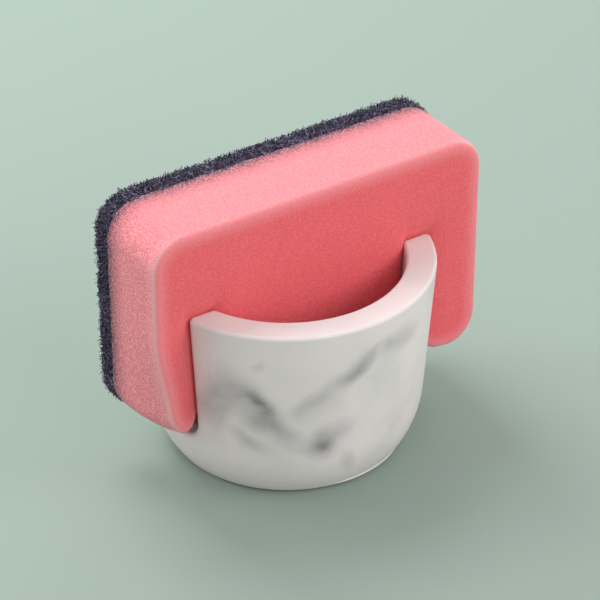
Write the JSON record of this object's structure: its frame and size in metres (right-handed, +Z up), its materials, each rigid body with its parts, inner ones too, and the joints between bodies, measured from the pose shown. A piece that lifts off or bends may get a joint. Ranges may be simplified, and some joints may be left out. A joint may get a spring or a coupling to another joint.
{
  "type": "sponge holder",
  "caption": "Round cast sponge holder: a thick-walled drafted cup cut across by a drain slot, with a two-layer kitchen sponge standing on edge in the slot.",
  "frame": {"origin": "centre of the underside that the holder stands on", "axes": "+X along the slot and the sponge's length, +Y from the foam towards the scouring pad, +Z up"},
  "size_m": [0.11, 0.0858, 0.0875],
  "materials": {
    "cast_stone": "matt white cast composite with soft grey marbling",
    "non_slip_disc": "matt dark grey foam rubber sheet",
    "foam": "coral open-cell foam with fine pores",
    "scouring_fibre": "dark violet-grey web of coarse fibres"
  },
  "bodies": {
    "holder": {"holder_body": "cast_stone", "base_pad": "non_slip_disc"},
    "sponge": {"sponge_foam": "foam", "scouring_pad": "scouring_fibre"}
  },
  "joints": [
    {"name": "sponge_lift", "type": "slide", "parent": "holder", "child": "sponge", "axis": [0, 0, 1], "range_m": [0, 0.05]}
  ]
}
